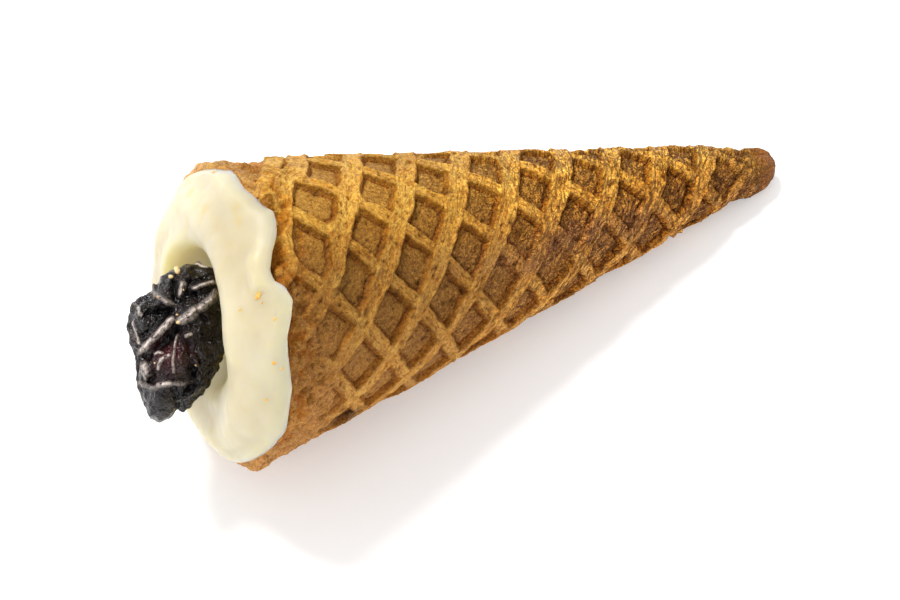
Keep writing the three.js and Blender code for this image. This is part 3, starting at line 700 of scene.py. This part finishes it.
def fit_outline(points, centre):
    """Draws points in or out, square to the view, to match the outline in the picture."""
    square = np.array((RIGHT, UP))
    centre_x, centre_y, depth = (number[0] for number in in_picture(centre[None]))
    aim_x, aim_y = ((BERRY_OUTLINE - (centre_x, centre_y)) * (1, -1) * depth / FOCAL).T
    x, y = square @ (points - centre).T
    angle = np.arctan2(y, x)
    # how far the points reach now, in each of a number of sectors
    sectors = 60
    edges = np.linspace(-math.pi, math.pi, sectors + 1)
    number = np.clip(np.digitize(angle, edges) - 1, 0, sectors - 1)
    widest = np.zeros(sectors)
    np.maximum.at(widest, number, np.hypot(x, y))
    now = np.interp(angle, (edges[:-1] + edges[1:]) / 2, widest, period=2 * math.pi)
    wanted = np.interp(angle, np.arctan2(aim_y, aim_x), np.hypot(aim_x, aim_y), period=2 * math.pi)
    return points + ((wanted / now - 1) * (x, y)).T @ square


def build_berry():
    way, faces = unit_ball(7)
    angle = np.mod(np.degrees(np.arctan2(way[:, 1], way[:, 0])), 360)
    section = np.interp(angle, *BERRY_SECTION.T)
    radius = 1 / np.hypot(np.hypot(way[:, 0], way[:, 1]) / section, way[:, 2] / BERRY_HALF_DEPTH)
    noise = Noise(45)
    away_side = smooth(0.35, -0.15, -way[:, 2])
    big = folds(way, 41, 26, 0.10) * away_side
    radius += 0.6 * big + 0.12 * folds(way, 43, 120, 0.05) - 0.40
    radius += 0.10 * noise.layers(way * 7, 4) + 0.2 * noise(way * 1.9)
    look = np.array(LOOK)
    axes = np.array(berry_axes())
    centre = axis_point(MOUTH_DISTANCE + BERRY_OUT, BERRY_DOWN, 90) - BERRY_NEARER * look
    points = fit_outline(centre + way * radius[:, None] @ axes, centre)

    # folds rise towards the viewer, and their lines wander a little
    x, y, _ = in_picture(points)
    x, y = x + 1.5 * noise(points * 0.9), y + 1.5 * noise(points * 0.9 + 20)
    facing = smooth(0.0, 0.5, (points - centre) @ -look / BERRY_HALF_DEPTH)
    rise = np.zeros(len(points))
    bloom_and_painted_highlight = 0.28 * big
    for height, reach, highlight_and_bloom_share, line in BERRY_FOLDS:
        near = np.clip(1 - from_line(x, y, line) / (1.7 * reach), 0, 1)
        # narrow folds are sharp, wide ones round
        rise += height * (near ** 1.6 if reach < 8 else smooth(0, 1, near))
        bloom_and_painted_highlight = np.maximum(bloom_and_painted_highlight, highlight_and_bloom_share * near ** 1.3)
    points = points - (0.9 * rise * facing)[:, None] * look
    red = bell(np.hypot(x - RED_PLACE[0], y - RED_PLACE[1]), RED_REACH) * facing
    if np.linalg.det(axes) < 0:
        faces = faces[:, ::-1]
    # painted shade: the valleys of the folds darkened in the material
    hollow_painted_shade = np.clip(-rise * facing, 0, 1)
    return make_mesh("berry", points, [faces], dict(bloom_and_painted_highlight=bloom_and_painted_highlight, red=red, hollow_painted_shade=hollow_painted_shade))


# ======== Crumbs and specks ========

camera_place = (APEX + CAMERA_FROM_APEX) * MM


def tree_of(thing):
    mesh = thing.data
    return BVHTree.FromPolygons([v.co for v in mesh.vertices], [p.vertices for p in mesh.polygons])


def seen_at(tree, pixel_x, pixel_y):
    """The point of a surface, and its normal, that shows at this place in the picture."""
    across, down = (pixel_x - FRAME_WIDTH / 2) / FOCAL, (pixel_y - FRAME_HEIGHT / 2) / FOCAL
    way = LOOK + RIGHT * across - UP * down
    return tree.ray_cast(Vector(camera_place), way.normalized())[:2]


# picture place, length, width, thickness, direction in the picture in degrees
YOGURT_SPECKS = (
    (258, 296, 0.75, 0.36, 0.1, 55), (214, 172, 0.32, 0.22, 0.12, 0), (274, 363, 0.36, 0.3, 0.08, 20),
    (275, 319, 0.3, 0.2, 0.07, 60), (240, 310, 0.26, 0.18, 0.06, 0), (266, 400, 0.26, 0.2, 0.05, 30),
    (282, 369, 0.24, 0.16, 0.05, 80), (222, 168, 0.2, 0.15, 0.06, 10), (262, 303, 0.2, 0.12, 0.05, 40),
)
BERRY_CRUMBS = (
    (177, 271, 0.8, 0.46, 0.36, 100), (171, 277, 0.4, 0.34, 0.24, 0), (178, 322, 0.34, 0.26, 0.22, 30),
    (196, 365, 0.2, 0.18, 0.14, 0), (158, 297, 0.26, 0.2, 0.16, 60), (183, 290, 0.2, 0.16, 0.12, 10),
    (155, 363, 0.2, 0.16, 0.12, 10), (177, 315, 0.22, 0.18, 0.14, 0),
)


def build_specks(name, tree, list_of_specks, seed):
    """Small lumpy grains, each lying on the surface where the picture shows it."""
    noise = Noise(seed)
    steps, rings = 12, 7
    base, grid = [], []
    for j, k in product(range(rings + 1), range(steps)):
        lean, around = math.pi * j / rings, 2 * math.pi * k / steps
        base.append((math.sin(lean) * math.cos(around), math.sin(lean) * math.sin(around), math.cos(lean)))
    for j, k in product(range(rings), range(steps)):
        here, beside = j * steps + k, j * steps + (k + 1) % steps
        grid.append((here, here + steps, beside + steps, beside))
    base, grid = np.array(base), np.array(grid)
    points, faces = [], []
    for number, (x, y, *size, direction) in enumerate(list_of_specks):
        place, normal = seen_at(tree, x, y)
        if place is None:
            continue
        turn = direction * RAD
        first = RIGHT * math.cos(turn) + UP * math.sin(turn)
        first = (first - normal * first.dot(normal)).normalized()
        axes = np.array((first, normal.cross(first), normal))
        lumpy = base * (1 + 0.25 * noise(base * 1.6 + 7 * number))[:, None] * np.array(size) / 2
        middle = np.array(place) / MM - APEX + np.array(normal) * size[2] * 0.2
        faces.append(grid + len(points) * len(base))
        points.append(middle + lumpy @ axes)
    return make_mesh(name, np.concatenate(points), [np.concatenate(faces)])


# ======== Materials ========

class Tree:
    """Builds one material's nodes."""

    def __init__(self, name):
        self.material = bpy.data.materials.new(name)
        self.material.use_nodes = True
        self.nodes = self.material.node_tree.nodes
        self.links = self.material.node_tree.links
        self.nodes.clear()
        self.shader = self.nodes.new("ShaderNodeBsdfPrincipled")
        output = self.nodes.new("ShaderNodeOutputMaterial")
        self.links.new(self.shader.outputs[0], output.inputs[0])
        place = self.nodes.new("ShaderNodeTexCoord").outputs["Object"]
        self.place = self.node("ShaderNodeVectorMath", {0: place, "Scale": 1 / MM}, operation="SCALE")

    def node(self, kind, inputs=None, **settings):
        made = self.nodes.new(kind)
        for key, value in settings.items():
            setattr(made, key, value)
        for key, value in (inputs or {}).items():
            self.put(made.inputs[key], value)
        return made

    def put(self, socket, value):
        if isinstance(value, bpy.types.Node):
            value = value.outputs[0]
        if isinstance(value, bpy.types.NodeSocket):
            self.links.new(value, socket)
        elif isinstance(value, tuple) and len(value) == 3 and socket.type == "RGBA":
            socket.default_value = (*value, 1)
        else:
            socket.default_value = value

    def noise(self, scale, detail=2.0, rough=0.5, warp=0.0, place=None):
        inputs = {"Vector": self.place if place is None else place, "Scale": scale, "Detail": detail,
                  "Roughness": rough, "Distortion": warp}
        return self.node("ShaderNodeTexNoise", inputs, noise_type="FBM").outputs["Fac"]

    def value(self, name):
        return self.node("ShaderNodeAttribute", attribute_name=name).outputs["Fac"]

    def vector(self, *parts):
        return self.node("ShaderNodeCombineXYZ", dict(enumerate(parts)))

    def remap(self, value, low, high, to_low=0.0, to_high=1.0, ease="LINEAR"):
        inputs = {"Value": value, "From Min": low, "From Max": high, "To Min": to_low, "To Max": to_high}
        return self.node("ShaderNodeMapRange", inputs, interpolation_type=ease)

    def between(self, value, at_0, at_1):
        return self.remap(value, 0.0, 1.0, at_0, at_1)

    def math(self, operation, a, b=0.5):
        return self.node("ShaderNodeMath", {0: a, 1: b}, operation=operation)

    def times(self, a, b):
        return self.math("MULTIPLY", a, b)

    def lines(self, field, width):
        """Thin lines where a field is 0.5: 1 on a line, 0 beside it."""
        return self.remap(self.math("ABSOLUTE", self.math("SUBTRACT", field, 0.5)), width, 0.0)

    def mix(self, share, a, b, blend="MIX"):
        made = self.nodes.new("ShaderNodeMix")
        made.data_type = "RGBA"
        made.blend_type = blend
        self.put(made.inputs[0], share)
        self.put(made.inputs[6], a)
        self.put(made.inputs[7], b)
        return made.outputs[2]

    def bump(self, height, strength, distance, under=None):
        inputs = {"Height": height, "Strength": strength, "Distance": distance * MM}
        if under is not None:
            inputs["Normal"] = under
        return self.node("ShaderNodeBump", inputs)

    def set(self, **values):
        for key, value in values.items():
            self.put(self.shader.inputs[key.replace("_", " ")], value)


def srgb(red, green, blue):
    """Linear colour from the 0 to 255 values of a picture."""
    parts = (red / 255, green / 255, blue / 255)
    return tuple(((c + 0.055) / 1.055) ** 2.4 if c > 0.04 else c / 12.92 for c in parts)


def waffle_material():
    m = Tree("baked_waffle")
    names = "rib crevice bruise worn edge pale pore dark fine tone".split()
    rib, crevice, bruise, worn, edge, pale, pore, dark, fine, tone = map(m.value, names)

    # relief finer than the mesh, in millimetres
    steep_on, steep_relief, steep_fibre = strap_nodes(m, RIB_SETS[0], 3.6)
    flatter_on, flatter_relief, flatter_fibre = strap_nodes(m, RIB_SETS[1], 4.2)
    under = m.times(flatter_on, m.math("SUBTRACT", 1.0, steep_on))
    kept = m.math("SUBTRACT", 1.0, worn)
    straps = m.math("ADD", m.times(steep_on, steep_relief), m.times(under, flatter_relief))
    fibre = m.math("ADD", m.times(steep_on, steep_fibre), m.times(under, flatter_fibre))
    grain, coarse_grain, mottle = m.noise(8.0, 2, 0.7), m.noise(3.4, 3, 0.6), m.noise(1.3, 4, 0.6)
    # thin wandering lines, weaker near the mouth and on the ribs
    crease = m.lines(m.noise(2.3, 2, 0.5, 0.9), 0.035)
    crease = m.math("MAXIMUM", crease, m.times(m.lines(m.noise(4.6, 2, 0.5, 0.6), 0.04), 0.6))
    crease = m.times(m.times(crease, m.between(fine, 0.3, 1.0)), m.between(rib, 1.0, 0.6))
    # lines like them towards the tip, drawn out along the steep ribs
    place = m.vector(m.times(m.value("steep_across"), 1.7), m.times(m.value("steep_along"), 0.45))
    wrinkle = m.times(m.lines(m.noise(1.0, 3, 0.55, 0.7, place), 0.05), m.times(fine, fine))
    height = m.times(straps, kept)
    for operation, part, share in (
            ("SUBTRACT", crease, m.between(fine, 0.06, 0.24)),
            ("SUBTRACT", wrinkle, 0.34),
            ("ADD", grain, m.between(fine, 0.08, 0.06)),
            ("ADD", coarse_grain, m.between(fine, 0.16, 0.08)),
            ("ADD", mottle, 0.18),
            ("SUBTRACT", crevice, 0.10)):
        height = m.math(operation, height, m.times(part, share))

    patch = m.remap(m.noise(0.6, 4, 0.6), 0.3, 0.7)
    panel = m.mix(patch, srgb(196, 142, 56), srgb(220, 168, 76))
    panel = m.mix(m.times(fine, 0.4), panel, srgb(166, 114, 42))
    top = m.mix(patch, srgb(243, 176, 64), srgb(255, 208, 100))
    top = m.mix(m.times(fibre, 0.75), top, srgb(186, 116, 22))
    colour = m.mix(rib, panel, top)
    outside = m.math("MINIMUM", m.value("steep_out"), m.value("flatter_out"))
    side = m.times(m.remap(outside, -0.2, 0.0), m.remap(outside, 0.3, 0.12))
    smeared = m.remap(m.noise(0.9, 3, 0.55), 0.4, 0.65, 0.0, 0.6)
    for mask, share, paint in (
            (side, m.times(kept, 0.7), (190, 126, 30)),
            (worn, smeared, (236, 176, 96)),
            (edge, 0.85, (200, 124, 4)),
            (bruise, 0.6, (140, 98, 86)),
            (pale, 0.75, (255, 208, 130)),
            # painted shade: the feet of the ribs darker and orange
            (crevice, 0.8, (150, 74, 2)),
            (pore, 0.7, (88, 44, 6)),
            # painted shadow on the lower outline
            (dark, 1.0, (92, 52, 6))):
        colour = m.mix(m.times(mask, share), colour, srgb(*paint))
    # painted shade: the creases and wrinkles darkened
    lines = m.math("MAXIMUM", m.times(crease, 0.9), m.times(wrinkle, 0.85))
    colour = m.mix(lines, colour, srgb(116, 74, 28), "MULTIPLY")
    # dark grain, partly painted shade of the fine relief, weaker on the ribs and near the mouth, and
    # painted glints
    grain_and_painted_shade = m.times(m.remap(grain, 0.60, 0.40), m.between(rib, 1.0, 0.5))
    grain_and_painted_shade = m.times(m.times(grain_and_painted_shade, m.between(fine, 0.6, 1.0)), 0.75)
    grain_and_painted_shade = m.math("ADD", grain_and_painted_shade, m.times(m.remap(coarse_grain, 0.60, 0.36), 0.5))
    colour = m.mix(grain_and_painted_shade, colour, srgb(172, 144, 106), "MULTIPLY")
    painted_glints = m.times(m.remap(m.noise(5.0, 3, 0.6), 0.57, 0.66), m.between(fine, 0.15, 0.12))
    colour = m.mix(painted_glints, colour, srgb(255, 216, 140))
    # multiplies in the crust's colour changes with their painted light and shade, and a hue that changes
    # round the cone
    shade = m.vector(tone, m.times(tone, m.value("green")), m.times(tone, m.value("blue")))
    colour = m.mix(1.0, colour, shade, "MULTIPLY")

    rough = m.remap(m.noise(2.0, 2), 0.3, 0.7, 0.45, 0.7)
    m.set(Base_Color=colour, Roughness=rough, Normal=m.bump(height, 1.0, 1.0), Specular_IOR_Level=0.16)
    return m.material


def strap_nodes(m, rule, fineness):
    """One rib family: on a strap or not, its fine relief in millimetres, and how dark its fibres are."""
    across, along, outside = (m.value(rule["name"] + end) for end in ("_across", "_along", "_out"))
    shifted = m.math("SUBTRACT", m.math("DIVIDE", across, RIB_PITCH), rule["phase"])
    number = m.math("ROUND", shifted)
    offset = m.times(m.math("SUBTRACT", shifted, number), RIB_PITCH)
    place = m.vector(m.times(offset, fineness), m.times(along, 1.15), m.times(number, 7.3))
    streak = m.noise(1.0, 3, 0.6, 0.8, place)
    on_strap = m.remap(outside, 0.09, -0.05, ease="SMOOTHSTEP")
    lip = m.times(m.remap(outside, -0.34, -0.14), m.remap(outside, 0.0, -0.1))
    streaks = m.times(m.math("SUBTRACT", streak, 0.5), 0.34)
    relief = m.math("ADD", m.math("ADD", streaks, m.times(lip, 0.08)), 0.14)
    return on_strap, relief, m.remap(streak, 0.52, 0.36)


def yogurt_material():
    m = Tree("yogurt")
    soft = m.remap(m.noise(0.25, 2), 0.35, 0.65)
    colour = m.mix(soft, srgb(196, 184, 154), srgb(200, 191, 165))
    colour = m.mix(m.times(m.value("stain"), 0.75), colour, srgb(202, 166, 88))
    # painted shade on the upper side
    colour = m.mix(m.value("shade"), colour, srgb(100, 88, 60))
    # painted light in the dimple, lighter and yellower
    colour = m.mix(m.times(m.value("dimple_painted_light"), 0.8), colour, srgb(218, 204, 142))
    rough = m.remap(m.noise(1.2, 2), 0.3, 0.7, 0.36, 0.5)
    bump = m.bump(m.noise(1.5, 3, 0.5), 0.12, 0.15)
    m.set(Base_Color=colour, Roughness=rough, Normal=bump, Specular_IOR_Level=0.3)
    m.set(Subsurface_Weight=1.0, Subsurface_Radius=(1.0, 0.9, 0.35), Subsurface_Scale=5 * MM)
    return m.material


def berry_material():
    m = Tree("dried_berry_skin")
    patch = m.remap(m.noise(1.1, 4, 0.6), 0.40, 0.62)
    bloom_and_painted_highlight = m.times(m.remap(m.value("bloom_and_painted_highlight"), 0.2, 0.8), m.remap(m.noise(2.2, 4, 0.65), 0.34, 0.52))
    colour = m.mix(patch, (0.0042, 0.0024, 0.0027), (0.0125, 0.0066, 0.0068))
    red = m.mix(m.noise(0.8, 3), (0.060, 0.004, 0.006), (0.018, 0.003, 0.005))
    colour = m.mix(m.value("red"), colour, red)
    # pale bloom, and painted highlights along the bright ridges
    colour = m.mix(m.times(bloom_and_painted_highlight, 0.95), colour, srgb(222, 206, 196))
    # painted shade in the valleys of the folds
    colour = m.mix(m.remap(m.value("hollow_painted_shade"), 0.1, 0.6), colour, (0.0025, 0.002, 0.002))
    rough = m.math("ADD", m.remap(m.noise(1.4, 3), 0.35, 0.65, 0.10, 0.26), m.times(bloom_and_painted_highlight, 0.3))
    lumps = m.bump(m.noise(1.6, 3, 0.55), 1.0, 0.42)
    crease = m.lines(m.noise(1.3, 2, 0.5, 0.8), 0.06)
    wrinkled = m.bump(m.math("SUBTRACT", 1.0, crease), 1.0, 0.07, lumps)
    fine = m.bump(m.noise(5.0, 2, 0.5), 1.0, 0.022, wrinkled)
    m.set(Base_Color=colour, Roughness=rough, Normal=fine, Specular_IOR_Level=0.4)
    return m.material


def crumb_material(name, dark, pale):
    m = Tree(name)
    colour = m.mix(m.remap(m.noise(3.0, 3), 0.35, 0.65), dark, pale)
    rough = m.remap(m.noise(5.0, 2), 0.3, 0.7, 0.5, 0.7)
    bump = m.bump(m.noise(6.0, 3), 0.5, 0.05)
    m.set(Base_Color=colour, Roughness=rough, Normal=bump, Specular_IOR_Level=0.3)
    return m.material


# ======== The object ========

def dress(thing, material, node):
    thing.data.materials.append(material)
    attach(thing, "root")
    if node:
        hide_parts(node)


waffle = build_waffle()
dress(waffle, waffle_material(), "waffle_cone")
yogurt = build_yogurt()
dress(yogurt, yogurt_material(), "yogurt_filling")
berry = build_berry()
dress(berry, berry_material(), "dried_berry")

specks = build_specks("yogurt_specks", tree_of(yogurt), YOGURT_SPECKS, 51)
dress(specks, crumb_material("orange_speck", srgb(220, 154, 62), srgb(238, 190, 108)), None)
crumbs = build_specks("berry_crumbs", tree_of(berry), BERRY_CRUMBS, 52)
dress(crumbs, crumb_material("pale_crumb", srgb(206, 160, 104), srgb(240, 214, 160)), None)


# ======== Stage ========

def build_floor():
    bpy.ops.mesh.primitive_plane_add(size=6)
    floor = bpy.context.object
    floor.name = "floor"
    m = Tree("pale_floor")
    m.set(Base_Color=(0.86, 0.86, 0.86), Roughness=0.9, Specular_IOR_Level=0.1)
    m.set(Emission_Color=(1, 1, 1), Emission_Strength=0.25)
    floor.data.materials.append(m.material)


def area_light(name, way, distance, size, watts):
    lamp = bpy.data.lights.new(name, "AREA")
    lamp.shape = "DISK"
    lamp.size = size
    lamp.energy = watts
    thing = bpy.data.objects.new(name, lamp)
    way = Vector(way).normalized()
    thing.location = Vector((0, 0, 0.012)) + way * distance
    thing.rotation_euler = way.to_track_quat("Z", "Y").to_euler()
    bpy.context.scene.collection.objects.link(thing)


def light_scene():
    area_light("key", UP * 0.82 - LOOK * 0.58 - RIGHT * 0.36, 0.50, 0.15, 2.4)
    area_light("fill", UP * -0.3 - LOOK * 0.9 - RIGHT * 0.5, 0.45, 0.30, 0.4)
    world = bpy.data.worlds.new("studio")
    world.use_nodes = True
    background = world.node_tree.nodes["Background"]
    background.inputs["Color"].default_value = (1, 1, 1, 1)
    background.inputs["Strength"].default_value = 0.78
    bpy.context.scene.world = world
    bpy.context.scene.view_settings.view_transform = "Standard"


def place_camera():
    lens = bpy.data.cameras.new("camera")
    lens.lens = LENS
    lens.sensor_width = SENSOR
    lens.clip_start = 0.01
    lens.clip_end = 20
    thing = bpy.data.objects.new("camera", lens)
    turn = Matrix((RIGHT, UP, -LOOK)).transposed().to_4x4()
    thing.matrix_world = Matrix.Translation(Vector(camera_place)) @ turn
    bpy.context.scene.collection.objects.link(thing)
    bpy.context.scene.camera = thing


build_floor()
light_scene()
place_camera()
